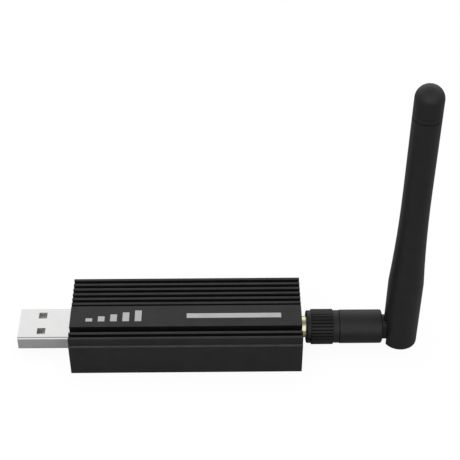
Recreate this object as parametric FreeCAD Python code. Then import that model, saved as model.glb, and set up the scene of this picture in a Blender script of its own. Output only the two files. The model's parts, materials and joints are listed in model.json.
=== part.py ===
import FreeCAD, Part
import math
import os

from FreeCAD import Vector

# Radio stick with a USB plug and a folding antenna, in millimetres.
# X runs along the stick from the plug to the antenna, Y across it and Z up.
# The origin is the middle of the housing's underside.

# Housing: an extruded tube with cooling fins on top, closed by two end plates
housing_length = 66.2
housing_width = 25.5
housing_height = 13.5
side_step = 0.6
ledge_drop = 2.4
floor_wall = 1.2
side_wall = 1.3
roof_wall = 1.2
fin_height = 2.2
fin_thickness = 0.85
fin_pitch = 1.95
back_fin_count = 6
front_fin_count = 2
panel_back = 0.88
panel_width = 8.17
board_slot_depth = 0.5
end_plate_thickness = 1.0

# End screws, two at each end, in channels under the roof
screw_radius = 0.8
screw_length = 6.0
screw_head_radius = 1.85
screw_recess_depth = 0.5
screw_recess_width = 0.4
screw_channel_wall = 1.1
screw_spacing = 19.0
screw_rise = 3.25

# USB plug
connector_height = 5.25
usb_width = 12.0
usb_height = 4.5
usb_reach = 15.5
usb_inside = 3.3
usb_sheet = 0.3
usb_corner = 0.6
usb_window = 2.4
usb_window_spacing = 6.2
usb_window_setback = 5.4
usb_tongue_setback = 0.4
usb_mouth_depth = 9.2
usb_seam = 0.12
usb_tab_width = 1.2
usb_tab_reach = 1.3
contact_thickness = 0.3
contact_width = 1.0
contact_places = [-3.5, -1.0, 1.0, 3.5]
contact_setback = 1.2
contact_tail = 1.6

# Circuit board and what it carries
board_thickness = 1.6
board_side_gap = 0.1
radio_chip_size = 7.0
bridge_chip_size = 5.0
chip_height = 0.9
regulator_length = 6.5
regulator_width = 3.5
regulator_height = 1.6
main_crystal_length = 3.2
main_crystal_width = 2.5
clock_crystal_length = 3.2
clock_crystal_width = 1.5
crystal_height = 0.8
capacitor_length = 1.6
capacitor_width = 0.8
capacitor_height = 0.8
capacitor_pitch = 3.2
capacitor_count = 5
switch_size = 4.5
switch_height = 1.7
switch_travel = 0.25
plunger_length = 2.4
plunger_width = 1.6
plunger_height = 0.9
plunger_seat = 0.9

# Coaxial jack at the antenna end
jack_radius = 3.1
jack_reach = 5.3
jack_flange = 6.35
jack_flange_thickness = 1.6
jack_leg_length = 4.0
jack_leg_width = 1.0
jack_recess = 1.95
jack_insulator_radius = 2.31
jack_contact_radius = 0.64
jack_tail_width = 0.8
jack_tail_length = 2.5
socket_depth = 2.4

# Antenna plug: nut, grip, ferrule, insulator and pin
grip_standoff = 1.6
grip_length = 9.55
grip_radius = 5.15
grip_collar_radius = 4.77
grip_front_collar = 1.45
grip_rear_collar = 1.8
rib_count = 32
rib_depth = 0.36
nut_setback = 0.2
nut_end_gap = 0.5
nut_across_flats = 7.2
nut_lip = 1.2
ferrule_radius = 2.25
ferrule_flange_radius = 2.9
ferrule_flange_thickness = 1.2
ferrule_shank_radius = 2.1
ferrule_shank_length = 10.0
ferrule_lip = 0.2
ferrule_lip_length = 1.2
snap_ring_thickness = 0.3
snap_ring_depth = 0.3
snap_ring_reach = 0.45
snap_ring_opening = 1.0
insulator_radius = 1.45
insulator_length = 7.0
pin_radius = 0.455
pin_reach = 1.9

# Swivel sleeve with its tongue, and the hinge
grip_seam = 0.1
sleeve_length = 12.35
sleeve_radius = 4.9
hinge_offset = 5.7
tongue_thickness = 4.6
tongue_height = 5.8
tongue_slit = 1.7
hinge_shift = 0.85
hinge_pivot_radius = 1.4
hinge_pivot_length = 0.8

# Antenna rod
blade_radius = 5.0
blade_tip_radius = 3.87
blade_below_hinge = 4.75
blade_straight_top = 18.15
blade_taper_top = 51.75
cap_seam_height = 76.05
cap_length = 9.55
cap_spigot_length = 3.0
cap_dome_steps = 3
blade_flat = 4.2
blade_socket_floor = 7.2
blade_bore_radius = 2.4

# Feed cable and radiator
cable_radius = 0.6
cable_bend = 2.9
cable_bend_steps = 1
cable_rise = 39.2
cable_room = 0.3
radiator_foot = 8.2
radiator_length = 30.5
radiator_wall = 0.25
whip_radius = 0.5
whip_end_gap = 2.85

# Clearances
fit_gap = 0.02
running_gap = 0.05
side_gap = 0.1
sight_gap = 0.15

# Stations along X that several pieces share
housing_end = housing_length / 2
shell_end = housing_end - end_plate_thickness
upper_half_width = housing_width / 2 - side_step
ledge_height = housing_height - ledge_drop
groove_floor = housing_height - fin_height
cavity_half_width = housing_width / 2 - side_wall
cavity_roof = groove_floor - roof_wall
usb_tip = -housing_end - usb_reach
usb_back = -housing_end + usb_inside
board_top = connector_height - jack_tail_width / 2
board_bottom = board_top - board_thickness
board_end = shell_end - jack_flange_thickness
board_half_width = cavity_half_width + board_slot_depth - board_side_gap
screw_height = board_top + screw_rise
channel_half = screw_radius + screw_channel_wall
channel_inner = screw_spacing / 2 - channel_half
jack_end = housing_end + jack_reach
mating_plane = jack_end - jack_recess
grip_start = housing_end + grip_standoff
grip_end = grip_start + grip_length
nut_start = grip_start + nut_setback
lip_start = jack_end + nut_end_gap
nut_end = lip_start + nut_lip
ring_end = lip_start - side_gap
ring_start = ring_end - snap_ring_thickness
flange_start = nut_end + side_gap
shank_start = flange_start + ferrule_flange_thickness
shank_end = shank_start + ferrule_shank_length
lip_x = shank_end - ferrule_lip_length
lip_radius = ferrule_shank_radius + ferrule_lip
sleeve_start = grip_end + grip_seam
sleeve_end = sleeve_start + sleeve_length
hinge_x = sleeve_end + hinge_offset
pivot_x = hinge_x + hinge_shift
pivot_height = connector_height - hinge_shift
plug_front = mating_plane + fit_gap
insulator_end = plug_front + insulator_length


def box(x0, x1, y0, y1, z0, z1):
    return Part.makeBox(x1 - x0, y1 - y0, z1 - z0, Vector(x0, y0, z0))


def rod_x(x0, x1, radius, y=0.0, z=connector_height):
    return Part.makeCylinder(radius, x1 - x0, Vector(x0, y, z), Vector(1, 0, 0))


def rod_y(y0, y1, radius, x, z):
    return Part.makeCylinder(radius, y1 - y0, Vector(x, y0, z), Vector(0, 1, 0))


def rod_z(z0, z1, radius, x=0.0, y=0.0):
    return Part.makeCylinder(radius, z1 - z0, Vector(x, y, z0), Vector(0, 0, 1))


def turned_on_connector(profile):
    """Turn a list of (x, radius) corners about the connectors' axis."""
    corners = [Vector(x, 0, connector_height + radius) for x, radius in profile]
    face = Part.Face(Part.makePolygon(corners + corners[:1]))
    return face.revolve(Vector(0, 0, connector_height), Vector(1, 0, 0), 360)


def turned_on_blade(edges):
    """Turn a closed outline of edges about the rod's upright axis."""
    face = Part.Face(Part.Wire(edges))
    return face.revolve(Vector(hinge_x, 0, 0), Vector(0, 0, 1), 360)


def on_blade(radius, height):
    """Place a point of the rod's outline, its height counted from the hinge."""
    return Vector(hinge_x + radius, 0, connector_height + height)


def fused(first, others):
    return first.multiFuse(others).removeSplitter()


def save(name, shape):
    shape.exportStep("parts/" + name + ".step")


def rounded_bar(x0, x1, width, height, radius):
    """A bar along X on the connectors' axis, its four long edges rounded."""
    low = connector_height - height / 2
    bar = box(x0, x1, -width / 2, width / 2, low, low + height)
    long_edges = [edge for edge in bar.Edges if abs(edge.tangentAt(0).x) > 0.99]
    return bar.makeFillet(radius, long_edges)


def outline_bar(x0, x1):
    """The housing's outer section with its fins and flat panel, from x0 to x1."""
    half_width = housing_width / 2
    body = box(x0, x1, -half_width, half_width, 0, ledge_height)
    upper = box(x0, x1, -upper_half_width, upper_half_width, 0, groove_floor)
    panel = box(x0, x1, panel_back - panel_width, panel_back, 0, housing_height)
    pieces = [upper, panel]
    for index in range(back_fin_count):
        back = upper_half_width - index * fin_pitch
        pieces.append(box(x0, x1, back - fin_thickness, back, 0, housing_height))
    for index in range(front_fin_count):
        front = -upper_half_width + index * fin_pitch
        pieces.append(box(x0, x1, front, front + fin_thickness, 0, housing_height))
    return fused(body, pieces)


def screw_places():
    return [(side * screw_spacing / 2, screw_height) for side in (-1, 1)]


def make_housing_shell():
    shell = outline_bar(-shell_end, shell_end)
    cavity = box(-shell_end, shell_end, -cavity_half_width, cavity_half_width,
                 floor_wall, cavity_roof)
    slot_half_width = cavity_half_width + board_slot_depth
    slot = box(-shell_end, shell_end, -slot_half_width, slot_half_width,
               board_bottom - side_gap, board_top + side_gap)
    for y, z in screw_places():
        inner = math.copysign(channel_inner, y)
        outer = math.copysign(cavity_half_width, y)
        cavity = cavity.cut(box(-shell_end, shell_end, min(inner, outer), max(inner, outer),
                                z - channel_half, cavity_roof))
    shell = shell.cut(cavity.fuse(slot))
    for y, z in screw_places():
        shell = shell.cut(rod_x(-shell_end, shell_end, screw_radius + fit_gap, y, z))
    return shell.removeSplitter()


def screw_cone(x_face, direction, y, z, gap):
    """The countersunk head of a screw whose flat face is at x_face."""
    axis = Vector(-direction, 0, 0)
    return Part.makeCone(screw_head_radius + gap, screw_radius + gap, end_plate_thickness,
                         Vector(x_face, y, z), axis)


def make_end_plate(direction, opening):
    outer = direction * housing_end
    inner = direction * shell_end
    plate = outline_bar(min(outer, inner), max(outer, inner))
    plate = plate.cut(opening)
    for y, z in screw_places():
        plate = plate.cut(screw_cone(outer, direction, y, z, fit_gap))
    return plate


def make_screws(direction):
    outer = direction * housing_end
    screws = []
    for y, z in screw_places():
        tip = outer - direction * screw_length
        shank = rod_x(min(outer, tip), max(outer, tip), screw_radius, y, z)
        screw = shank.fuse(screw_cone(outer, direction, y, z, 0.0)).removeSplitter()
        floor = outer - direction * screw_recess_depth
        arm = screw_head_radius * 0.55
        half = screw_recess_width / 2
        x0 = min(outer, floor)
        x1 = max(outer, floor)
        upright = box(x0, x1, y - half, y + half, z - arm, z + arm)
        level = box(x0, x1, y - arm, y + arm, z - half, z + half)
        screws.append(screw.cut(upright.fuse(level)))
    return Part.makeCompound(screws)


def tab_places():
    """The two board tabs at the back of the plug's shell, as (side, x)."""
    return [(side, usb_back - usb_tab_width) for side in (-1, 1)]


def make_usb_shell():
    outer = rounded_bar(usb_tip, usb_back, usb_width, usb_height, usb_corner)
    low = connector_height - usb_height / 2
    inside = usb_width / 2 - usb_sheet
    shell = outer.cut(box(usb_tip, usb_back, -inside, inside, low + usb_sheet,
                          low + usb_height - usb_sheet))
    window_x = usb_tip + usb_window_setback
    for side in (-1, 1):
        y = side * usb_window_spacing / 2
        shell = shell.cut(box(window_x, window_x + usb_window, y - usb_window / 2,
                              y + usb_window / 2, low - 1, low + usb_height + 1))
    shell = shell.cut(box(usb_tip, usb_back, -usb_seam / 2, usb_seam / 2,
                          low - 1, low + usb_sheet))
    tabs = []
    for side, x in tab_places():
        wall = side * (usb_width / 2 - usb_sheet / 2)
        end = side * (usb_width / 2 + usb_tab_reach)
        leg = end - side * usb_sheet
        tabs.append(box(x, x + usb_tab_width, min(wall, end), max(wall, end),
                        board_top, board_top + usb_sheet))
        tabs.append(box(x, x + usb_tab_width, min(leg, end), max(leg, end),
                        board_bottom - usb_sheet, board_top + usb_sheet))
    return fused(shell, tabs)


def tongue_half_width():
    return usb_width / 2 - usb_sheet - fit_gap


def make_usb_tongue():
    front = usb_tip + usb_tongue_setback
    step = usb_tip + usb_mouth_depth
    half_width = tongue_half_width()
    low = connector_height - usb_height / 2 + usb_sheet + fit_gap
    high = connector_height + usb_height / 2 - usb_sheet - fit_gap
    top = board_top + contact_thickness
    tongue = box(front, usb_back, -half_width, half_width, low, high)
    tongue = tongue.cut(box(front, step, -half_width, half_width, top, high))
    for strip in contact_strips(fit_gap):
        tongue = tongue.cut(strip)
    return tongue


def contact_strips(gap):
    front = usb_tip + usb_tongue_setback + contact_setback
    end = usb_back + contact_tail
    strips = []
    for y in contact_places:
        half = contact_width / 2 + gap
        strips.append(box(front - gap, end, y - half, y + half, board_top - gap,
                          board_top + contact_thickness + gap))
    return strips


def make_circuit_board():
    board = box(-shell_end + side_gap, board_end, -board_half_width, board_half_width,
                board_bottom, board_top)
    notch = usb_width / 2 + side_gap
    board = board.cut(box(-shell_end, usb_back + side_gap, -notch, notch,
                          board_bottom, board_top))
    for side, x in tab_places():
        end = side * (usb_width / 2 + usb_tab_reach)
        leg = end - side * usb_sheet
        board = board.cut(box(x - side_gap, x + usb_tab_width + side_gap,
                              min(leg, end) - side_gap, max(leg, end) + side_gap,
                              board_bottom, board_top))
    return board


def on_board(x, y, length, width, height):
    return box(x - length / 2, x + length / 2, y - width / 2, y + width / 2,
               board_top, board_top + height)


def make_regulator():
    body = on_board(regulator_x, regulator_y, regulator_width, regulator_length,
                    regulator_height)
    leads = []
    lead_length = 1.4
    for index in (-1, 0, 1):
        y = regulator_y + index * regulator_length * 0.35
        leads.append(on_board(regulator_x - regulator_width / 2 - lead_length / 2, y,
                              lead_length, 0.7, 0.3))
    leads.append(on_board(regulator_x + regulator_width / 2 + lead_length / 2, regulator_y,
                          lead_length, regulator_length * 0.45, 0.3))
    return fused(body, leads)


def make_capacitors():
    solids = []
    for index in range(capacitor_count):
        x = radio_chip_x + (index - (capacitor_count - 1) / 2) * capacitor_pitch
        for side in (-1, 1):
            y = side * (radio_chip_size / 2 + capacitor_length)
            solids.append(on_board(x, y, capacitor_width, capacitor_length, capacitor_height))
    return Part.makeCompound(solids)


def switch_button(x, y, gap, low, high):
    """The button's rectangular bar, grown by a gap where it is the hole for it."""
    half_length = plunger_length / 2 + gap
    half_width = plunger_width / 2 + gap
    return box(x - half_length, x + half_length, y - half_width, y + half_width, low, high)


def make_switch_base(x, y):
    top = board_top + switch_height
    floor = top - plunger_seat - switch_travel - side_gap
    base = on_board(x, y, switch_size, switch_size, switch_height)
    return base.cut(switch_button(x, y, running_gap, floor, top))


def make_switch_plunger(x, y):
    top = board_top + switch_height
    return switch_button(x, y, 0.0, top - plunger_seat, top + plunger_height)


def make_jack_body():
    half = jack_flange / 2
    body = box(board_end, shell_end, -half, half, connector_height - half,
               connector_height + half)
    barrel = rod_x(shell_end, jack_end, jack_radius)
    legs = []
    for side in (-1, 1):
        y0 = side * half
        y1 = side * (half - jack_leg_width)
        low = connector_height - half
        high = connector_height + half
        legs.append(box(board_end - jack_leg_length, board_end, min(y0, y1), max(y0, y1),
                        board_top, board_top + jack_leg_width))
        legs.append(box(board_end - jack_leg_length, board_end, min(y0, y1), max(y0, y1),
                        low, board_bottom))
    jack = fused(body, [barrel] + legs)
    return jack.cut(rod_x(board_end, jack_end, jack_insulator_radius + fit_gap))


def make_jack_insulator():
    sleeve = rod_x(board_end, mating_plane, jack_insulator_radius)
    return sleeve.cut(rod_x(board_end, mating_plane, jack_contact_radius + fit_gap))


def make_jack_contact():
    socket = rod_x(board_end, mating_plane, jack_contact_radius)
    socket = socket.cut(rod_x(mating_plane - socket_depth, mating_plane,
                              pin_radius + running_gap))
    half = jack_tail_width / 2
    tail = box(board_end - jack_tail_length, board_end, -half, half,
               connector_height - half, connector_height + half)
    return socket.fuse(tail).removeSplitter()


def hexagon_bar(x0, x1, across_flats):
    radius = across_flats / 2 / math.cos(math.radians(30))
    corners = []
    for index in range(6):
        angle = math.radians(60 * index)
        corners.append(Vector(x0, radius * math.cos(angle),
                              connector_height + radius * math.sin(angle)))
    face = Part.Face(Part.makePolygon(corners + corners[:1]))
    return face.extrude(Vector(x1 - x0, 0, 0))


def make_coupling_nut():
    nut = hexagon_bar(nut_start, nut_end, nut_across_flats)
    nut = nut.cut(rod_x(nut_start, lip_start, jack_radius + running_gap))
    return nut.cut(rod_x(lip_start, nut_end, ferrule_radius + running_gap))


def make_nut_grip():
    crest = [
        (grip_start, 0),
        (grip_start, grip_collar_radius),
        (grip_start + grip_front_collar, grip_collar_radius),
        (grip_start + grip_front_collar, grip_radius),
        (grip_end - grip_rear_collar, grip_radius),
        (grip_end - grip_rear_collar, grip_collar_radius),
        (grip_end, grip_collar_radius),
        (grip_end, 0),
    ]
    grip = turned_on_connector(crest)
    valley = grip_radius - rib_depth
    half_angle = math.pi / rib_count * 0.55
    reach = grip_radius + 0.5
    x0 = grip_start + grip_front_collar
    x1 = grip_end - grip_rear_collar
    cutters = []
    for index in range(rib_count):
        angle = 2 * math.pi * index / rib_count
        corners = []
        for radius, turn in ((valley, 0), (reach, -1), (reach, 1)):
            place = angle + turn * half_angle * reach / grip_radius
            corners.append(Vector(x0, radius * math.cos(place),
                                  connector_height + radius * math.sin(place)))
        face = Part.Face(Part.makePolygon(corners + corners[:1]))
        cutters.append(face.extrude(Vector(x1 - x0, 0, 0)))
    grip = grip.cut(Part.makeCompound(cutters))
    return grip.cut(hexagon_bar(grip_start, grip_end, nut_across_flats + 2 * fit_gap))


def make_plug_ferrule():
    groove_x0 = ring_start - running_gap
    groove_x1 = ring_end + running_gap
    groove = ferrule_radius - snap_ring_depth
    ferrule = turned_on_connector([
        (plug_front, 0),
        (plug_front, ferrule_radius),
        (groove_x0, ferrule_radius),
        (groove_x0, groove),
        (groove_x1, groove),
        (groove_x1, ferrule_radius),
        (flange_start, ferrule_radius),
        (flange_start, ferrule_flange_radius),
        (shank_start, ferrule_flange_radius),
        (shank_start, ferrule_shank_radius),
        (lip_x, ferrule_shank_radius),
        (lip_x, lip_radius),
        (shank_end, lip_radius),
        (shank_end, 0),
    ])
    return ferrule.cut(rod_x(plug_front, shank_end, insulator_radius + fit_gap))


def make_snap_ring():
    """A sprung C in the ferrule's groove that keeps the nut's lip at the flange."""
    ring = rod_x(ring_start, ring_end, ferrule_radius + snap_ring_reach)
    ring = ring.cut(rod_x(ring_start, ring_end, ferrule_radius - snap_ring_depth + fit_gap))
    half = snap_ring_opening / 2
    opening = box(ring_start, ring_end, -half, half, connector_height,
                  connector_height + jack_radius)
    return ring.cut(opening)


def make_plug_insulator():
    insulator = rod_x(plug_front, insulator_end, insulator_radius)
    return insulator.cut(rod_x(plug_front, insulator_end, pin_radius + fit_gap))


def make_plug_pin():
    return rod_x(mating_plane - pin_reach, insulator_end, pin_radius)


def make_swivel_sleeve():
    """The sleeve that turns on the ferrule, snapped over the lip of its shank."""
    half_height = tongue_height / 2
    half_thick = tongue_thickness / 2
    body = rod_x(sleeve_start, sleeve_end, sleeve_radius)
    arm = box(sleeve_end - 1, pivot_x, -half_thick, half_thick,
              connector_height - half_height, connector_height + half_height)
    eye_radius = half_height - hinge_shift
    eye = rod_y(-half_thick, half_thick, eye_radius, pivot_x, pivot_height)
    pivot_end = half_thick + hinge_pivot_length
    pivots = rod_y(-pivot_end, pivot_end, hinge_pivot_radius, pivot_x, pivot_height)
    sleeve = fused(body, [arm, eye, pivots])
    half_slit = tongue_slit / 2
    sleeve = sleeve.cut(box(hinge_x - blade_flat, pivot_x + eye_radius, -half_slit, half_slit,
                            connector_height - half_height, connector_height + half_height))
    sleeve = sleeve.cut(box(shank_end, hinge_x, -half_slit, half_slit,
                            connector_height - half_slit, connector_height + half_slit))
    sleeve = sleeve.cut(rod_x(sleeve_start, shank_end,
                              ferrule_shank_radius + running_gap))
    return sleeve.cut(rod_x(lip_x - side_gap, shank_end + side_gap,
                            lip_radius + running_gap))


def line(start, end):
    return Part.LineSegment(start, end).toShape()


def arc(start, middle, end):
    return Part.Arc(start, middle, end).toShape()


def taper_radius(height):
    """Radius of the rod on its hollow curve, which ends upright at the taper's top."""
    span = blade_taper_top - blade_straight_top
    share = (blade_taper_top - height) / span
    return blade_tip_radius + (blade_radius - blade_tip_radius) * share ** 2


def make_blade_cover():
    seam = cap_seam_height - fit_gap
    middle = (blade_straight_top + blade_taper_top) / 2
    foot = on_blade(0, -blade_below_hinge)
    corner = on_blade(blade_radius, -blade_below_hinge)
    shoulder = on_blade(blade_radius, blade_straight_top)
    waist = on_blade(blade_tip_radius, blade_taper_top)
    rim = on_blade(blade_tip_radius, seam)
    top = on_blade(0, seam)
    cover = turned_on_blade([
        line(foot, corner),
        line(corner, shoulder),
        arc(shoulder, on_blade(taper_radius(middle), middle), waist),
        line(waist, rim),
        line(rim, top),
        line(top, foot),
    ])
    floor = connector_height + blade_socket_floor
    cover = cover.cut(rod_z(floor, connector_height + seam, blade_bore_radius, hinge_x))
    room = cable_radius + cable_room
    cover = cover.cut(box(hinge_x - room, hinge_x + room, -room, room, connector_height, floor))
    reach = blade_radius + 1
    low = connector_height - reach
    slot_half = tongue_thickness / 2 + side_gap
    slot_reach = tongue_height / 2 + sight_gap
    cutters = [
        box(hinge_x - reach, pivot_x + sight_gap, -slot_half, slot_half, low,
            connector_height + slot_reach),
        box(hinge_x - reach, hinge_x + slot_reach, -slot_half, slot_half, low,
            pivot_height),
        rod_y(-slot_half, slot_half, slot_reach - hinge_shift, pivot_x, pivot_height),
        rod_y(-slot_half - hinge_pivot_length - side_gap,
              slot_half + hinge_pivot_length + side_gap,
              hinge_pivot_radius + running_gap, pivot_x, pivot_height),
        box(hinge_x - reach, hinge_x - blade_flat, -reach, reach, low,
            connector_height + slot_reach),
    ]
    return cover.cut(cutters[0].multiFuse(cutters[1:]))


def make_tip_cap():
    dome = cap_seam_height + cap_length - blade_tip_radius
    spigot_radius = blade_bore_radius - side_gap
    spigot_foot = cap_seam_height - cap_spigot_length
    full = blade_tip_radius
    corners = [
        on_blade(0, spigot_foot),
        on_blade(spigot_radius, spigot_foot),
        on_blade(spigot_radius, cap_seam_height),
        on_blade(full, cap_seam_height),
    ]
    for index in range(cap_dome_steps + 1):
        turn = math.pi / 2 * index / cap_dome_steps
        corners.append(on_blade(full * math.cos(turn), dome + full * math.sin(turn)))
    corners[-1] = on_blade(0, dome + full)
    return turned_on_blade(Part.makePolygon(corners + corners[:1]).Edges)


def make_feed_cable():
    """A thin coaxial cable, straight along the sleeve, then bent up into the rod."""
    corners = [Vector(insulator_end + fit_gap, 0, connector_height)]
    for index in range(cable_bend_steps + 1):
        turn = math.pi / 2 * index / cable_bend_steps
        corners.append(Vector(hinge_x - cable_bend * (1 - math.sin(turn)), 0,
                              connector_height + cable_bend * (1 - math.cos(turn))))
    corners.append(Vector(hinge_x, 0, connector_height + cable_rise))
    path = Part.Wire([line(corners[i], corners[i + 1]) for i in range(len(corners) - 1)])
    circle = Part.Circle(corners[0], Vector(1, 0, 0), cable_radius)
    return path.makePipeShell([Part.Wire([circle.toShape()])], True, False, 1)


def make_radiator_sleeve():
    foot = connector_height + radiator_foot
    top = foot + radiator_length
    radius = blade_bore_radius - running_gap
    tube = rod_z(foot, top, radius, hinge_x)
    return tube.cut(rod_z(foot, top, radius - radiator_wall, hinge_x))


def make_radiator_whip():
    foot = connector_height + cable_rise
    top = connector_height + cap_seam_height - cap_spigot_length - whip_end_gap
    return rod_z(foot, top, whip_radius, hinge_x)


# Places of the parts on the board
radio_chip_x = 11.0
bridge_chip_x = -17.5
bridge_chip_y = -3.0
regulator_x = -17.5
regulator_y = 4.2
main_crystal_x = 2.5
clock_crystal_inset = 3.05
switch_x = -7.0
switch_clearance = 0.15


def main():
    os.makedirs("parts", exist_ok=True)

    opening_width = usb_width / 2 + side_gap
    opening_height = usb_height / 2 + side_gap
    usb_opening = box(-housing_end, -shell_end, -opening_width, opening_width,
                      connector_height - opening_height, connector_height + opening_height)
    jack_opening = rod_x(shell_end, housing_end, jack_radius + side_gap)
    save("housing_shell", make_housing_shell())
    save("usb_end_plate", make_end_plate(-1, usb_opening))
    save("antenna_end_plate", make_end_plate(1, jack_opening))
    save("usb_end_screws", make_screws(-1))
    save("antenna_end_screws", make_screws(1))

    save("usb_shell", make_usb_shell())
    save("usb_tongue", make_usb_tongue())
    save("usb_contacts", Part.makeCompound(contact_strips(0.0)))

    save("circuit_board", make_circuit_board())
    save("radio_chip", on_board(radio_chip_x, 0, radio_chip_size, radio_chip_size,
                                chip_height))
    save("usb_bridge_chip", on_board(bridge_chip_x, bridge_chip_y, bridge_chip_size,
                                     bridge_chip_size, chip_height))
    save("voltage_regulator", make_regulator())
    save("main_crystal", on_board(main_crystal_x, 0, main_crystal_width,
                                  main_crystal_length, crystal_height))
    save("clock_crystal", on_board(radio_chip_x, clock_crystal_inset - board_half_width,
                                   clock_crystal_length, clock_crystal_width,
                                   crystal_height))
    save("chip_capacitors", make_capacitors())
    for name, side in (("boot", -1), ("reset", 1)):
        y = side * (channel_inner - switch_clearance - switch_size / 2)
        save(name + "_switch_base", make_switch_base(switch_x, y))
        save(name + "_switch_plunger", make_switch_plunger(switch_x, y))

    save("jack_body", make_jack_body())
    save("jack_insulator", make_jack_insulator())
    save("jack_contact", make_jack_contact())

    save("coupling_nut", make_coupling_nut())
    save("nut_grip", make_nut_grip())
    save("plug_ferrule", make_plug_ferrule())
    save("snap_ring", make_snap_ring())
    save("plug_insulator", make_plug_insulator())
    save("plug_pin", make_plug_pin())

    save("swivel_sleeve", make_swivel_sleeve())
    save("blade_cover", make_blade_cover())
    save("tip_cap", make_tip_cap())
    save("feed_cable", make_feed_cable())
    save("radiator_sleeve", make_radiator_sleeve())
    save("radiator_whip", make_radiator_whip())


main()
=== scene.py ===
import json
import math

import bmesh
import bpy
from mathutils import Matrix, Vector


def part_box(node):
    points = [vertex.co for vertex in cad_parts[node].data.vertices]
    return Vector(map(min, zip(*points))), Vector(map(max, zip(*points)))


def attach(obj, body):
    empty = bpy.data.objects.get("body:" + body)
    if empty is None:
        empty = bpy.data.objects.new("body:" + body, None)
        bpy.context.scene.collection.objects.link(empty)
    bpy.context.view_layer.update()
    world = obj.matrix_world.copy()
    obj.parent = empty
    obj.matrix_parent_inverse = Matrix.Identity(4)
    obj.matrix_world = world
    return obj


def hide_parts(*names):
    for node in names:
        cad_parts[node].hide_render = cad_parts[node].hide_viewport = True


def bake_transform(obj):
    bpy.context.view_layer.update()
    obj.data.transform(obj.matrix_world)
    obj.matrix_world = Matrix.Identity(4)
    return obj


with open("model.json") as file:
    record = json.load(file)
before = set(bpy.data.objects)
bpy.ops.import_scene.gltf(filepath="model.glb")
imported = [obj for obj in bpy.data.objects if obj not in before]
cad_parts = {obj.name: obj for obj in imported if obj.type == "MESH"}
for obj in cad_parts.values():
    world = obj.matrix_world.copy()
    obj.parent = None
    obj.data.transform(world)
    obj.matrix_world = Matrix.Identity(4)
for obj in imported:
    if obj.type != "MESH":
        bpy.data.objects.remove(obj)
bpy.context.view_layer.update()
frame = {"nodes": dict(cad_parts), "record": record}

MM = 0.001
SAME_PLACE = 0.01 * MM

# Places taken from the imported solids, in metres
SHELL_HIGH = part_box("housing_shell")[1]
GRIP_LOW, GRIP_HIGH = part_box("nut_grip")
JACK_LOW, JACK_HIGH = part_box("jack_body")
SLEEVE_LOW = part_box("swivel_sleeve")[0]
PLATE_LOW, PLATE_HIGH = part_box("antenna_end_plate")
PLUG_PLATE_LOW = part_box("usb_end_plate")[0]
WHIP_LOW, WHIP_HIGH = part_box("radiator_whip")
CAP_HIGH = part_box("tip_cap")[1]
BOARD_LOW, BOARD_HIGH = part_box("circuit_board")
AXIS_Z = (GRIP_LOW[2] + GRIP_HIGH[2]) / 2
HINGE_X = (WHIP_LOW[0] + WHIP_HIGH[0]) / 2
TOP_Z = SHELL_HIGH[2]

# Rounding of solids: points this near are merged, and the angles are in degrees
MERGE_WITHIN = 0.0005 * MM
FLAT_BELOW = 0.5
EDGE_ABOVE = 40
SMOOTH_BELOW = 38
NEARLY_UPRIGHT = 0.1
NEARLY_LEVEL = 0.97

# Housing: limits just inside its upper sides and around its grooves, and its ledges
NEAR_UPPER_SIDE = SHELL_HIGH[1] - 0.65 * MM
BELOW_GROOVES = TOP_Z - 2.25 * MM
BELOW_FIN_TOPS = TOP_Z - 0.15 * MM
LEDGE_Z = TOP_Z - 2.4 * MM
LEDGE_ROUNDING = 0.52 * MM
# Band on each ledge's rounding that gets the painted highlight
LEDGE_HIGHLIGHT_WIDTH = 0.55 * MM
LEDGE_HIGHLIGHT_HEIGHT = 0.6 * MM
FINE_ROUNDING = 0.09 * MM

# Printed marks on the flat panel
PANEL_MIDDLE_Y = -3.2 * MM
PRINT_THICKNESS = 0.03 * MM
PRINT_SINK = 0.01 * MM

# Jack and its thread
THREAD_PITCH = 0.7056 * MM
THREAD_CREST = 3.1 * MM
THREAD_ROOT = 2.72 * MM
THREAD_FLAT = 0.14
THREAD_LEAD_IN = 0.35 * MM
SHOULDER_LENGTH = 1.5 * MM
JACK_BORE = 2.33 * MM
JACK_LEG = 1.0 * MM

# Grip: its skin lies outside one radius, and its ribs' tops outside the other
OUTER_SKIN = 4.6 * MM
RIB_TOPS = 5.0 * MM
FRONT_COLLAR = 1.4 * MM
REAR_COLLAR = 1.75 * MM
FRONT_RIM_ROUNDING = 0.35 * MM
REAR_RIM_ROUNDING = 0.12 * MM
RIB_ROUNDING = 0.07 * MM

# Swivel sleeve: its skin lies outside the grip's first radius
SLEEVE_LENGTH = 12.35 * MM
SLEEVE_END_ROUNDING = 0.5 * MM
SLEEVE_SEAM_ROUNDING = 0.15 * MM
TONGUE_ROUNDING = 0.5 * MM
TONGUE_HALF_THICKNESS = 2.3 * MM
TONGUE_TOP_FROM = AXIS_Z + 0.9 * MM

# Feed cable
CABLE_RADIUS = 0.6 * MM
CABLE_BEND = 2.9 * MM
CABLE_RISE = 39.2 * MM
CABLE_START = 43.5 * MM

# Tip cap
CAP_SEAM = 76.05 * MM
CAP_SPIGOT = 3.0 * MM
CAP_SPIGOT_RADIUS = 2.3 * MM
CAP_SPIGOT_CHAMFER = 0.3 * MM
CAP_GROOVE = 0.20 * MM
CAP_GROOVE_FLOOR = 0.14 * MM
CAP_SEAM_SLOPE = 0.12 * MM
CAP_RING_RISE = 1.5 * MM

# Camera, fitted to the photograph
CAMERA_PLACE = Vector((0.010318, -0.253882, 0.272136))
CAMERA_AZIMUTH = math.radians(0.522)
CAMERA_ELEVATION = math.radians(42.009)
CAMERA_ROLL = math.radians(-0.059)
CAMERA_FOCAL_PIXELS = 1257.215
PHOTO_PIXELS = 460
SENSOR_WIDTH = 36.0

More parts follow.
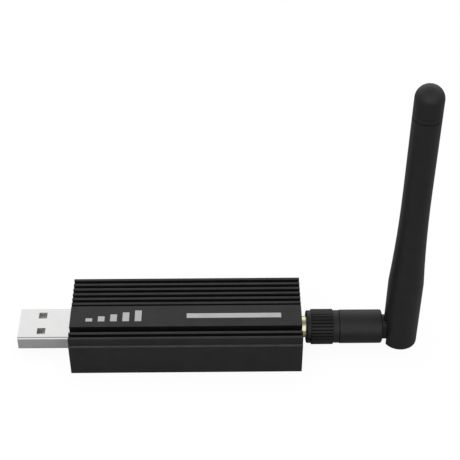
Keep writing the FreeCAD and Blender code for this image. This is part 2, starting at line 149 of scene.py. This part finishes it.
# Studio: strengths of the surroundings, and what the floor sends back
WHITE = (1, 1, 1, 1)
FILL_STRENGTH = 0.55
FLOOR_REACH = 3.0
FLOOR_DROP = 0.02 * MM
FLOOR_SEEN_MATT = 0.95
FLOOR_SEEN_GLOW = 0.94
FLOOR_UNSEEN_MATT = 0.23
FLOOR_MIRRORED_GLOW = 0.06

# Tent that shiny surfaces see: where its light starts to fall, where it ends, and its low level
ROOF_FALL = (0.72, 0.97, 0.25)
SIDES_FALL = (0.45, 0.95, 0.5)


# Node trees and materials

def set_inputs(node, **values):
    for name, value in values.items():
        node.inputs[name.replace("_", " ")].default_value = value


class NodeTree:
    """Short ways to add and join the nodes of a material or of the world."""

    def __init__(self, tree):
        self.tree = tree

    def add(self, kind, **inputs):
        node = self.tree.nodes.new(kind)
        set_inputs(node, **inputs)
        return node

    def link(self, source, target):
        self.tree.links.new(source, target)

    def feed(self, source, target):
        """Joins an output to a socket, or sets the socket to a plain number."""
        if isinstance(source, float):
            target.default_value = source
        else:
            self.link(source, target)

    def calculate(self, operation, *terms):
        node = self.add("ShaderNodeMath")
        node.operation = operation
        for term, socket in zip(terms, node.inputs):
            self.feed(term, socket)
        return node.outputs[0]

    def mix(self, share, first, second):
        """The first shader where the share is 0, and the second where it is 1."""
        mixed = self.add("ShaderNodeMixShader")
        self.feed(share, mixed.inputs["Fac"])
        self.link(first, mixed.inputs[1])
        self.link(second, mixed.inputs[2])
        return mixed.outputs[0]

    def fall_off(self, source, start, end, low):
        """A level of 1 up to one place, falling to a low level at another."""
        level = self.add("ShaderNodeMapRange", From_Min=start, From_Max=end, To_Min=1.0,
                         To_Max=low)
        self.link(source, level.inputs["Value"])
        return level.outputs["Result"]

    def mirrored_ray(self, path):
        """1 for a ray that left a shiny or clear surface, and 0 for any other."""
        return self.calculate("MAXIMUM", path.outputs["Is Glossy Ray"],
                              path.outputs["Is Transmission Ray"])


class Recipe(NodeTree):
    """One procedural material around a Principled BSDF."""

    def __init__(self, name):
        self.material = bpy.data.materials.new(name)
        self.material.use_nodes = True
        super().__init__(self.material.node_tree)
        self.shader = self.tree.nodes["Principled BSDF"]
        self.coordinates = self.add("ShaderNodeTexCoord")

    def noise(self, scale, detail=2.0, roughness=0.5, stretch=(1, 1, 1)):
        mapping = self.add("ShaderNodeMapping", Scale=stretch)
        self.link(self.coordinates.outputs["Object"], mapping.inputs["Vector"])
        noise = self.add("ShaderNodeTexNoise", Scale=scale, Detail=detail, Roughness=roughness)
        self.link(mapping.outputs["Vector"], noise.inputs["Vector"])
        return noise.outputs["Fac"]

    def ramp(self, factor, stops):
        ramp = self.add("ShaderNodeValToRGB")
        for element, (place, colour) in zip(ramp.color_ramp.elements, stops):
            element.position = place
            element.color = (*colour, 1.0)
        self.link(factor, ramp.inputs["Fac"])
        return ramp.outputs["Color"]

    def spread(self, factor, low, high):
        spread = self.add("ShaderNodeMapRange", To_Min=low, To_Max=high)
        self.link(factor, spread.inputs["Value"])
        return spread.outputs["Result"]

    def bump(self, height, distance, below=None):
        bump = self.add("ShaderNodeBump", Strength=1.0, Distance=distance)
        self.link(height, bump.inputs["Height"])
        if below is not None:
            self.link(below, bump.inputs["Normal"])
        self.link(bump.outputs["Normal"], self.shader.inputs["Normal"])
        return bump.outputs["Normal"]


def tinted(colour, factor):
    return tuple(min(1.0, channel * factor) for channel in colour)


def plain_finish(name, colour, variation, roughness, grain, grain_depth,
                 metallic=0.0, specular=0.5, stretch=(1, 1, 1)):
    """A finish with slow colour patches, uneven gloss and a fine grain."""
    smoother = 0.88
    rougher = 1.12
    recipe = Recipe(name)
    patches = recipe.noise(260.0, detail=3.0)
    stops = [(0.3, tinted(colour, 1 - variation)), (0.7, tinted(colour, 1 + variation))]
    recipe.link(recipe.ramp(patches, stops), recipe.shader.inputs["Base Color"])
    fine = recipe.noise(grain, roughness=0.6, stretch=stretch)
    recipe.link(recipe.spread(fine, roughness * smoother, min(1.0, roughness * rougher)),
                recipe.shader.inputs["Roughness"])
    recipe.bump(fine, grain_depth)
    set_inputs(recipe.shader, Metallic=metallic, Specular_IOR_Level=specular)
    return recipe.material


def anodised_aluminium():
    """Black anodising over a fine blast, with faint lines from the extrusion die."""
    recipe = Recipe("black_anodised")
    patches = recipe.noise(180.0, detail=3.0)
    stops = [(0.3, (0.021, 0.021, 0.0218)), (0.7, (0.027, 0.027, 0.0282))]
    recipe.link(recipe.ramp(patches, stops), recipe.shader.inputs["Base Color"])
    blast = recipe.noise(5200.0, roughness=0.6)
    die_lines = recipe.noise(2600.0, detail=1.0, stretch=(0.015, 1.0, 1.0))
    recipe.link(recipe.spread(die_lines, 0.42, 0.56), recipe.shader.inputs["Roughness"])
    lines = recipe.bump(die_lines, 0.004 * MM)
    recipe.bump(blast, 0.012 * MM, below=lines)
    set_inputs(recipe.shader, Metallic=0.0, Specular_IOR_Level=0.20)
    return recipe.material


def solder_mask():
    """Green board lacquer, with the tracks under it a little paler."""
    recipe = Recipe("solder_mask")
    tracks = recipe.add("ShaderNodeTexBrick", Scale=420.0, Mortar_Size=0.03, Mortar_Smooth=0.2,
                        Color1=(0.010, 0.055, 0.024, 1), Color2=(0.012, 0.070, 0.030, 1),
                        Mortar=(0.020, 0.110, 0.045, 1))
    recipe.link(recipe.coordinates.outputs["Object"], tracks.inputs["Vector"])
    recipe.link(tracks.outputs["Color"], recipe.shader.inputs["Base Color"])
    recipe.bump(recipe.noise(1500.0), 0.01 * MM)
    set_inputs(recipe.shader, Roughness=0.3, Coat_Weight=0.3)
    return recipe.material


MATERIALS = {
    "anodised_shell": anodised_aluminium(),
    # Painted highlight: paler anodising for the ledges' rounded edges
    "ledge_highlight_paint": plain_finish("painted_ledge_highlight", (0.044, 0.044, 0.0448), 0.15, 0.42, 4800.0,
                                0.008 * MM, specular=0.24),
    # Painted shade: darker, less shiny anodising for the faces between the fins
    "painted_groove_shade": plain_finish("painted_groove_shade", (0.010, 0.010, 0.0102), 0.12, 0.50, 4800.0,
                                   0.010 * MM, specular=0.08),
    "black_screw": plain_finish("black_screw", (0.02, 0.02, 0.021), 0.2, 0.4, 3000.0,
                                0.01 * MM, metallic=0.6),
    "plated_shell": plain_finish("nickel_plate", (0.86, 0.86, 0.855), 0.02, 0.24, 2400.0,
                                 0.004 * MM, metallic=1.0, stretch=(0.05, 1, 1)),
    "plug_plastic": plain_finish("plug_plastic", (0.80, 0.80, 0.79), 0.04, 0.45, 2500.0,
                                 0.006 * MM),
    "gold_plate": plain_finish("gold_plate", (0.91, 0.86, 0.60), 0.04, 0.16, 3200.0,
                               0.003 * MM, metallic=1.0),
    "contact_plate": plain_finish("contact_plate", (0.68, 0.66, 0.58), 0.04, 0.40, 3200.0,
                                  0.004 * MM, metallic=1.0),
    "brass": plain_finish("turned_brass", (0.80, 0.68, 0.42), 0.05, 0.28, 2600.0,
                          0.006 * MM, metallic=1.0, stretch=(1, 0.05, 0.05)),
    "spring_steel": plain_finish("spring_steel", (0.50, 0.50, 0.51), 0.05, 0.3, 2600.0,
                                 0.005 * MM, metallic=1.0),
    "board": solder_mask(),
    "chip_plastic": plain_finish("chip_plastic", (0.02, 0.02, 0.02), 0.15, 0.6, 3200.0,
                                 0.015 * MM),
    "crystal_can": plain_finish("crystal_can", (0.62, 0.61, 0.57), 0.05, 0.3, 2400.0,
                                0.004 * MM, metallic=1.0),
    "ceramic": plain_finish("ceramic", (0.42, 0.32, 0.22), 0.12, 0.5, 3600.0, 0.01 * MM),
    "switch_plastic": plain_finish("switch_plastic", (0.03, 0.03, 0.03), 0.12, 0.5, 3000.0,
                                   0.01 * MM),
    "ptfe": plain_finish("ptfe", (0.82, 0.82, 0.80), 0.03, 0.5, 2800.0, 0.006 * MM),
    "grip_plastic": plain_finish("satin_black_plastic", (0.018, 0.018, 0.0184), 0.12, 0.36,
                                 3800.0, 0.010 * MM, specular=0.27),
    "rod_plastic": plain_finish("matt_black_plastic", (0.0145, 0.0145, 0.0149), 0.10, 0.42,
                                4200.0, 0.014 * MM, specular=0.36),
    "ribbed_plastic": plain_finish("ribbed_black_plastic", (0.0065, 0.0064, 0.0065), 0.12, 0.40,
                                   3800.0, 0.010 * MM, specular=0.36),
    "hinge_plastic": plain_finish("polished_black_plastic", (0.018, 0.018, 0.0184), 0.08, 0.20,
                                  3800.0, 0.003 * MM, specular=0.34),
    # Painted light: paler plastic for the tongue's upward faces, which lie in shade between the
    # sleeve and the rod
    "tongue_top_light_paint": plain_finish("painted_tongue_top_light", (0.050, 0.050, 0.0508), 0.10, 0.24,
                                 3800.0, 0.004 * MM, specular=0.34),
    "cable_jacket": plain_finish("cable_jacket", (0.10, 0.10, 0.10), 0.10, 0.45, 3000.0,
                                 0.01 * MM),
}
INK = plain_finish("grey_ink", (0.40, 0.40, 0.40), 0.05, 0.6, 4200.0, 0.008 * MM,
                   specular=0.2)


def dress_nodes():
    """Each solid gets the finish of its slot, and the plug's contacts one of their own."""
    slots = {part["node"]: part["material_slot"] for part in frame["record"]["subparts"]}
    for name, node in frame["nodes"].items():
        node.data.materials.clear()
        finish = "contact_plate" if name == "usb_contacts" else slots[name]
        node.data.materials.append(MATERIALS[finish])


# Mesh helpers

BOX_FACES = [(0, 2, 3, 1), (4, 5, 7, 6), (0, 1, 5, 4), (2, 6, 7, 3), (0, 4, 6, 2), (1, 3, 7, 5)]


def mesh_object(name, vertices, faces, material, smooth_angle=None):
    mesh = bpy.data.meshes.new(name)
    mesh.from_pydata(vertices, [], faces)
    mesh.validate()
    mesh.materials.append(material)
    piece = bpy.data.objects.new(name, mesh)
    bpy.context.scene.collection.objects.link(piece)
    if smooth_angle is not None:
        mesh.shade_smooth()
        mesh.set_sharp_from_angle(angle=math.radians(smooth_angle))
    return piece


def add_box(vertices, faces, x0, x1, y0, y1, z0, z1):
    start = len(vertices)
    vertices += [(x, y, z) for z in (z0, z1) for y in (y0, y1) for x in (x0, x1)]
    faces += [tuple(start + index for index in face) for face in BOX_FACES]


def boxes(name, blocks, material):
    vertices = []
    faces = []
    for block in blocks:
        add_box(vertices, faces, *block)
    return mesh_object(name, vertices, faces, material)


def circle(count, first=0.0):
    """Cosine and sine of each step round a circle, from the given part of a step."""
    angles = [2 * math.pi * (index + first) / count for index in range(count)]
    return [(math.cos(angle), math.sin(angle)) for angle in angles]


def ring_surface(rings):
    """Faces of a tube through rings of equal length, each ring closed on itself."""
    count = len(rings[0])
    vertices = [point for ring in rings for point in ring]
    faces = []
    for row in range(len(rings) - 1):
        for index in range(count):
            after = (index + 1) % count
            faces.append((row * count + index, row * count + after,
                          (row + 1) * count + after, (row + 1) * count + index))
    return vertices, faces


# Solids with rounded edges

def lies_along_x(edge):
    run = edge.verts[1].co - edge.verts[0].co
    return abs(run.x) > 0.99 * run.length


def both_ends(edge, test):
    return test(edge.verts[0].co) and test(edge.verts[1].co)


def off_axis(place):
    return math.hypot(place.y, place.z - AXIS_Z)


def is_rim(edge, x, within=SAME_PLACE):
    """Whether an edge of the grip or the sleeve is on its skin, and on a plane across X."""
    return both_ends(edge, lambda place: abs(place.x - x) < within
                     and off_axis(place) > OUTER_SKIN)


def softened_copy(name, copy_name, passes):
    """A copy of a solid that stands for it, with edges rounded in passes.

    Each pass is a width, a number of segments and a test that chooses the edges.
    """
    node = frame["nodes"][name]
    shape = bmesh.new()
    shape.from_mesh(node.data)
    shape.transform(node.matrix_world)
    bmesh.ops.remove_doubles(shape, verts=shape.verts, dist=MERGE_WITHIN)
    bmesh.ops.dissolve_limit(shape, angle_limit=math.radians(FLAT_BELOW), verts=shape.verts,
                             edges=shape.edges)
    for width, segments, chosen in passes:
        edges = [edge for edge in shape.edges
                 if len(edge.link_faces) == 2 and edge.is_convex
                 and edge.calc_face_angle(0.0) > math.radians(EDGE_ABOVE) and chosen(edge)]
        bmesh.ops.bevel(shape, geom=edges, offset=width, offset_type="OFFSET",
                        segments=segments, profile=0.5, affect="EDGES", clamp_overlap=False)
    bmesh.ops.remove_doubles(shape, verts=shape.verts, dist=MERGE_WITHIN)
    mesh = bpy.data.meshes.new(copy_name)
    shape.to_mesh(mesh)
    shape.free()
    mesh.materials.append(node.data.materials[0])
    mesh.shade_smooth()
    mesh.set_sharp_from_angle(angle=math.radians(SMOOTH_BELOW))
    piece = bpy.data.objects.new(copy_name, mesh)
    bpy.context.scene.collection.objects.link(piece)
    even = piece.modifiers.new("even_shading", "WEIGHTED_NORMAL")
    even.keep_sharp = True
    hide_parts(name)
    return piece


def refinish(piece, finish, chosen):
    """Gives another finish to the faces that the test chooses."""
    piece.data.materials.append(MATERIALS[finish])
    for face in piece.data.polygons:
        if chosen(face):
            face.material_index = len(piece.data.materials) - 1


def on_outline(place):
    """Whether a point is on the housing's outer outline, and not in its cavity or holes."""
    return abs(place.y) > NEAR_UPPER_SIDE or place.z > BELOW_GROOVES or place.z < SAME_PLACE


def is_ledge_edge(edge):
    """The outer edge of the ledge that runs along each side, and not of the underside."""
    return lies_along_x(edge) and both_ends(edge, lambda place: place.z > TOP_Z / 2
                                            and abs(place.y) > SHELL_HIGH[1] - SAME_PLACE)


def is_long_edge(edge):
    return lies_along_x(edge) and both_ends(edge, on_outline)


# Faces on the ledges' rounding, which get the painted highlight
def on_ledge_rounding(face):
    return (abs(face.center.y) > SHELL_HIGH[1] - LEDGE_HIGHLIGHT_WIDTH
            and LEDGE_Z - LEDGE_HIGHLIGHT_HEIGHT < face.center.z < LEDGE_Z
            and NEARLY_UPRIGHT < face.normal.z < NEARLY_LEVEL)


# Faces between the fins, which get the painted shade
def in_groove(face):
    return (BELOW_GROOVES < face.center.z < BELOW_FIN_TOPS and abs(face.normal.x) < 0.5
            and abs(face.center.y) < NEAR_UPPER_SIDE)


def soften_housing():
    """The extruded tube and its two end plates, with the die's small roundings.

    The rounded ledges are painted paler than the rest, a painted highlight. Between the
    fins the faces are painted darker, a painted shade.
    """
    ledge = (LEDGE_ROUNDING, 4, is_ledge_edge)
    fine = (FINE_ROUNDING, 2, is_long_edge)
    pieces = [softened_copy("housing_shell", "finned_tube", [ledge, fine])]
    for name, copy_name, outer in (("usb_end_plate", "plug_end_plate", PLUG_PLATE_LOW[0]),
                                   ("antenna_end_plate", "jack_end_plate", PLATE_HIGH[0])):
        def is_outer_rim(edge, outer=outer):
            return both_ends(edge, lambda place: abs(place.x - outer) < SAME_PLACE
                             and on_outline(place))
        pieces.append(softened_copy(name, copy_name, [ledge, fine,
                                                      (FINE_ROUNDING, 2, is_outer_rim)]))
    for piece in pieces:
        # Painted highlight on the ledges' rounding
        refinish(piece, "ledge_highlight_paint", on_ledge_rounding)
        # Painted shade between the fins
        refinish(piece, "painted_groove_shade", in_groove)
    return pieces


def soften_grip():
    """The ribbed grip: a rounded front rim, and broken corners on its ribs."""
    ribs_start = GRIP_LOW[0] + FRONT_COLLAR
    ribs_end = GRIP_HIGH[0] - REAR_COLLAR

    def is_rib_edge(edge):
        return both_ends(edge, lambda place: off_axis(place) > RIB_TOPS)

    def is_ribbed(face):
        return ribs_start < face.center.x < ribs_end and off_axis(face.center) > OUTER_SKIN

    grip = softened_copy("nut_grip", "ribbed_grip", [
        (FRONT_RIM_ROUNDING, 4, lambda edge: is_rim(edge, GRIP_LOW[0])),
        (REAR_RIM_ROUNDING, 2, lambda edge: is_rim(edge, GRIP_HIGH[0])),
        (RIB_ROUNDING, 2, is_rib_edge)])
    refinish(grip, "ribbed_plastic", is_ribbed)
    return grip


def soften_sleeve():
    """The sleeve: a rounded end, a fine break at the seam, a tongue polished by the hinge, and
    painted light that makes the tongue's upward faces paler.
    """
    body_end = SLEEVE_LOW[0] + SLEEVE_LENGTH

    def is_tongue_top(edge):
        return lies_along_x(edge) and both_ends(
            edge, lambda place: place.x > body_end - SAME_PLACE
            and abs(abs(place.y) - TONGUE_HALF_THICKNESS) < SAME_PLACE
            and place.z > TONGUE_TOP_FROM)

    def is_tongue(face):
        return face.center.x > body_end + SAME_PLACE

    # Upward faces of the tongue, which get the painted light
    def is_painted_light_top(face):
        return is_tongue(face) and face.normal.z > NEARLY_LEVEL

    sleeve = softened_copy("swivel_sleeve", "swivel_sleeve_body", [
        (SLEEVE_END_ROUNDING, 4, lambda edge: is_rim(edge, body_end, within=2 * SAME_PLACE)),
        (SLEEVE_SEAM_ROUNDING, 2, lambda edge: is_rim(edge, SLEEVE_LOW[0])),
        (TONGUE_ROUNDING, 5, is_tongue_top)])
    refinish(sleeve, "hinge_plastic", is_tongue)
    # Painted light on the tongue's upward faces
    refinish(sleeve, "tongue_top_light_paint", is_painted_light_top)
    return sleeve


# The jack

def thread_radius(turns):
    """Radius of a 60-degree thread at a place counted in turns along the helix."""
    ridge = abs(turns % 1.0 - 0.5) * 2
    height = min(1.0, max(0.0, (1 - ridge - THREAD_FLAT) / (1 - 2 * THREAD_FLAT)))
    return THREAD_ROOT + (THREAD_CREST - THREAD_ROOT) * height


def make_threaded_jack():
    """The gold jack's barrel, with a smooth shoulder and then the thread outside."""
    around = 96
    start = PLATE_LOW[0]
    shoulder = PLATE_HIGH[0] + SHOULDER_LENGTH
    end = JACK_HIGH[0]
    steps = 150
    rings = []
    for step in range(steps + 1):
        x = start + (end - start) * step / steps
        lead_in = THREAD_CREST - max(0.0, x - (end - THREAD_LEAD_IN))
        ring = []
        for index, (across, upward) in enumerate(circle(around)):
            radius = thread_radius((x - start) / THREAD_PITCH - index / around)
            if x < shoulder:
                radius = THREAD_CREST
            radius = min(radius, lead_in)
            ring.append((x, radius * across, AXIS_Z + radius * upward))
        rings.append(ring)
    for x in (end, start):
        rings.append([(x, JACK_BORE * across, AXIS_Z + JACK_BORE * upward)
                      for across, upward in circle(around)])
    rings.append(rings[0])
    vertices, faces = ring_surface(rings)
    return mesh_object("threaded_jack_barrel", vertices, faces, MATERIALS["gold_plate"],
                       smooth_angle=40)


def make_jack_flange():
    """The flange that stands behind the end plate, and the four legs on the board."""
    around = 64
    half = JACK_HIGH[2] - AXIS_Z
    outer = []
    inner = []
    for across, upward in circle(around, first=0.5):
        reach = half / max(abs(across), abs(upward))
        outer.append((reach * across, AXIS_Z + reach * upward))
        inner.append((JACK_BORE * across, AXIS_Z + JACK_BORE * upward))
    back = BOARD_HIGH[0]
    front = PLATE_LOW[0]
    rings = [[(x, y, z) for y, z in outline]
             for x, outline in ((back, inner), (back, outer), (front, outer), (front, inner),
                                (back, inner))]
    vertices, faces = ring_surface(rings)
    for side in (-1, 1):
        y0, y1 = sorted((side * half, side * (half - JACK_LEG)))
        for z0, z1 in ((BOARD_HIGH[2], BOARD_HIGH[2] + JACK_LEG),
                       (AXIS_Z - half, BOARD_LOW[2])):
            add_box(vertices, faces, JACK_LOW[0], back, y0, y1, z0, z1)
    return mesh_object("jack_flange", vertices, faces, MATERIALS["gold_plate"], smooth_angle=30)


# The cable

def smooth_route(corners):
    """Points along a smooth spline that has these corners as its control points."""
    curve = bpy.data.curves.new("route", "CURVE")
    curve.dimensions = "3D"
    curve.resolution_u = 12
    spline = curve.splines.new("NURBS")
    spline.points.add(len(corners) - 1)
    for point, corner in zip(spline.points, corners):
        point.co = (*corner, 1.0)
    spline.order_u = 3
    spline.use_endpoint_u = True
    guide = bpy.data.objects.new("route", curve)
    mesh = bpy.data.meshes.new_from_object(guide)
    places = [Vector(vertex.co) for vertex in mesh.vertices]
    bpy.data.meshes.remove(mesh)
    bpy.data.objects.remove(guide)
    bpy.data.curves.remove(curve)
    return places


def make_feed_cable():
    """The thin coaxial cable, which bends where the rod folds."""
    around = 20
    reach = 2 * CABLE_BEND
    places = smooth_route([
        (CABLE_START, 0, AXIS_Z),
        (HINGE_X - 2 * reach, 0, AXIS_Z),
        (HINGE_X - reach, 0, AXIS_Z),
        (HINGE_X, 0, AXIS_Z),
        (HINGE_X, 0, AXIS_Z + reach),
        (HINGE_X, 0, AXIS_Z + 2 * reach),
        (HINGE_X, 0, AXIS_Z + CABLE_RISE),
    ])
    sideways = Vector((0, 1, 0))
    rings = []
    for index, place in enumerate(places):
        before = places[max(0, index - 1)]
        after = places[min(len(places) - 1, index + 1)]
        upward = (after - before).normalized().cross(sideways)
        rings.append([tuple(place + (sideways * aside + upward * rise) * CABLE_RADIUS)
                      for aside, rise in circle(around)])
    vertices, faces = ring_surface(rings)
    count = len(vertices)
    faces.append(tuple(range(around - 1, -1, -1)))
    faces.append(tuple(range(count - around, count)))
    return mesh_object("feed_cable_run", vertices, faces, MATERIALS["cable_jacket"],
                       smooth_angle=50)


# The tip cap

def make_tip_cap():
    """Round cap on the rod: a spigot, a fine seam, a ring groove and a smooth dome."""
    around = 72
    radius = CAP_HIGH[0] - HINGE_X
    seam = AXIS_Z + CAP_SEAM
    foot = seam - CAP_SPIGOT
    top = CAP_HIGH[2]
    ring_place = seam + CAP_RING_RISE
    seam_end = seam + CAP_GROOVE_FLOOR
    half_floor = CAP_GROOVE_FLOOR / 2
    profile = [
        (foot, CAP_SPIGOT_RADIUS - CAP_SPIGOT_CHAMFER),
        (foot + CAP_SPIGOT_CHAMFER, CAP_SPIGOT_RADIUS),
        (seam, CAP_SPIGOT_RADIUS),
        (seam, radius - CAP_GROOVE),
        (seam_end, radius - CAP_GROOVE),
        (seam_end + CAP_SEAM_SLOPE, radius),
        (ring_place - CAP_GROOVE, radius),
        (ring_place - half_floor, radius - CAP_GROOVE),
        (ring_place + half_floor, radius - CAP_GROOVE),
        (ring_place + CAP_GROOVE, radius),
    ]
    steps = 22
    for step in range(steps):
        turn = math.pi / 2 * step / steps
        profile.append((top - radius + radius * math.sin(turn), radius * math.cos(turn)))
    rings = [[(HINGE_X + reach * across, reach * aside, z) for across, aside in circle(around)]
             for z, reach in profile]
    vertices, faces = ring_surface(rings)
    last = len(vertices) - around
    vertices.append((HINGE_X, 0, foot))
    vertices.append((HINGE_X, 0, top))
    for index in range(around):
        after = (index + 1) % around
        faces.append((after, index, len(vertices) - 2))
        faces.append((last + index, last + after, len(vertices) - 1))
    return mesh_object("round_tip_cap", vertices, faces, MATERIALS["rod_plastic"],
                       smooth_angle=35)


# Printed marks

def make_panel_print():
    """Generic marks: five level bars, and a plain grey strip beside them."""
    low = TOP_Z - PRINT_SINK
    high = TOP_Z + PRINT_THICKNESS
    bar_start = -28.6 * MM
    bar_width = 1.9 * MM
    bar_pitch = bar_width + 1.6 * MM
    bar_foot = PANEL_MIDDLE_Y - 2.0 * MM
    shortest_bar = 1.2 * MM
    bar_growth = 0.75 * MM
    blocks = []
    for index in range(5):
        x0 = bar_start + index * bar_pitch
        y1 = bar_foot + shortest_bar + bar_growth * index
        blocks.append((x0, x0 + bar_width, bar_foot, y1, low, high))
    strip_start = 0.2 * MM
    strip_end = 27.2 * MM
    half_strip = 0.9 * MM
    strip = (strip_start, strip_end, PANEL_MIDDLE_Y - half_strip, PANEL_MIDDLE_Y + half_strip,
             low, high)
    return [boxes("level_bars", blocks, INK), boxes("grey_strip", [strip], INK)]


# The studio

def make_floor():
    corners = [(across * FLOOR_REACH, along * FLOOR_REACH, -FLOOR_DROP)
               for across, along in ((-1, -1), (1, -1), (1, 1), (-1, 1))]
    floor = mesh_object("studio_floor", corners, [(0, 1, 2, 3)], floor_material())


def floor_material():
    """Pale floor that the camera sees as white, with the object's shadow on it."""
    material = bpy.data.materials.new("pale_floor")
    material.use_nodes = True
    nodes = NodeTree(material.node_tree)
    nodes.tree.nodes.remove(nodes.tree.nodes["Principled BSDF"])
    path = nodes.add("ShaderNodeLightPath")
    glow = nodes.add("ShaderNodeEmission", Color=WHITE, Strength=1.0).outputs[0]
    seen = nodes.mix(FLOOR_SEEN_GLOW, matt_surface(nodes, FLOOR_SEEN_MATT), glow)
    share = nodes.calculate("MULTIPLY", nodes.mirrored_ray(path), FLOOR_MIRRORED_GLOW)
    unseen = nodes.mix(share, matt_surface(nodes, FLOOR_UNSEEN_MATT), glow)
    choice = nodes.mix(path.outputs["Is Camera Ray"], unseen, seen)
    nodes.link(choice, nodes.tree.nodes["Material Output"].inputs["Surface"])
    return material


def matt_surface(nodes, value):
    return nodes.add("ShaderNodeBsdfDiffuse", Color=(value, value, value, 1)).outputs[0]


def make_world():
    """White all round for the camera, and a tent whose walls are brighter than its roof."""
    world = bpy.data.worlds.new("studio")
    bpy.context.scene.world = world
    world.use_nodes = True
    nodes = NodeTree(world.node_tree)
    nodes.tree.nodes.clear()
    path = nodes.add("ShaderNodeLightPath")
    fill = nodes.add("ShaderNodeBackground", Color=WHITE, Strength=FILL_STRENGTH).outputs[0]
    white = nodes.add("ShaderNodeBackground", Color=WHITE, Strength=1.0).outputs[0]
    tent = nodes.add("ShaderNodeBackground", Color=WHITE)
    place = nodes.add("ShaderNodeTexCoord")
    direction = nodes.add("ShaderNodeSeparateXYZ")
    nodes.link(place.outputs["Generated"], direction.inputs[0])
    roof = nodes.fall_off(direction.outputs["Z"], *ROOF_FALL)
    aside = nodes.calculate("ABSOLUTE", direction.outputs["X"])
    sides = nodes.fall_off(aside, *SIDES_FALL)
    nodes.link(nodes.calculate("MULTIPLY", roof, sides), tent.inputs["Strength"])
    unseen = nodes.mix(nodes.mirrored_ray(path), fill, tent.outputs[0])
    choice = nodes.mix(path.outputs["Is Camera Ray"], unseen, white)
    nodes.link(choice, nodes.add("ShaderNodeOutputWorld").inputs["Surface"])


def softbox(name, place, aim, size, power):
    light = bpy.data.lights.new(name, "AREA")
    light.shape = "RECTANGLE"
    light.size, light.size_y = size
    light.energy = power
    lamp = bpy.data.objects.new(name, light)
    lamp.location = place
    direction = Vector(aim) - Vector(place)
    lamp.rotation_euler = direction.to_track_quat("-Z", "Y").to_euler()
    lamp.visible_camera = False
    lamp.visible_glossy = False
    bpy.context.scene.collection.objects.link(lamp)


def make_lights():
    aim = (0.01, 0.0, 0.01)
    softbox("top_softbox", place=(0.0, 0.1, 0.9), aim=aim, size=(1.2, 1.0), power=5.6)
    softbox("front_fill", place=(-0.35, -0.7, 0.45), aim=aim, size=(0.6, 0.5), power=1.9)


def make_camera():
    azimuth, elevation, roll = CAMERA_AZIMUTH, CAMERA_ELEVATION, CAMERA_ROLL
    forward = Vector((math.sin(azimuth) * math.cos(elevation),
                      math.cos(azimuth) * math.cos(elevation), -math.sin(elevation)))
    level = Vector((math.cos(azimuth), -math.sin(azimuth), 0))
    upright = level.cross(forward)
    right = level * math.cos(roll) + upright * math.sin(roll)
    up = upright * math.cos(roll) - level * math.sin(roll)
    turn = Matrix((right, up, -forward)).transposed()
    camera = bpy.data.cameras.new("photo_camera")
    camera.sensor_width = SENSOR_WIDTH
    camera.lens = CAMERA_FOCAL_PIXELS / PHOTO_PIXELS * SENSOR_WIDTH
    camera.clip_start = 0.01
    camera.clip_end = 20.0
    holder = bpy.data.objects.new("photo_camera", camera)
    holder.matrix_world = Matrix.Translation(CAMERA_PLACE) @ turn.to_4x4()
    bpy.context.scene.collection.objects.link(holder)
    bpy.context.scene.camera = holder


def main():
    dress_nodes()
    for piece in soften_housing():
        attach(piece, "housing")
    for piece, body in ((soften_grip(), "antenna_nut"), (soften_sleeve(), "sleeve")):
        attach(piece, body)

    jack = make_threaded_jack()
    flange = make_jack_flange()
    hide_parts("jack_body")
    for piece in (jack, flange):
        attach(piece, "housing")

    cap = make_tip_cap()
    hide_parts("tip_cap")
    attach(cap, "rod")

    cable = make_feed_cable()
    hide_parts("feed_cable")
    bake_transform(cable)

    for piece in make_panel_print():
        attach(piece, "housing")

    make_floor()
    make_world()
    make_lights()
    make_camera()
    bpy.context.scene.view_settings.view_transform = "Standard"


main()
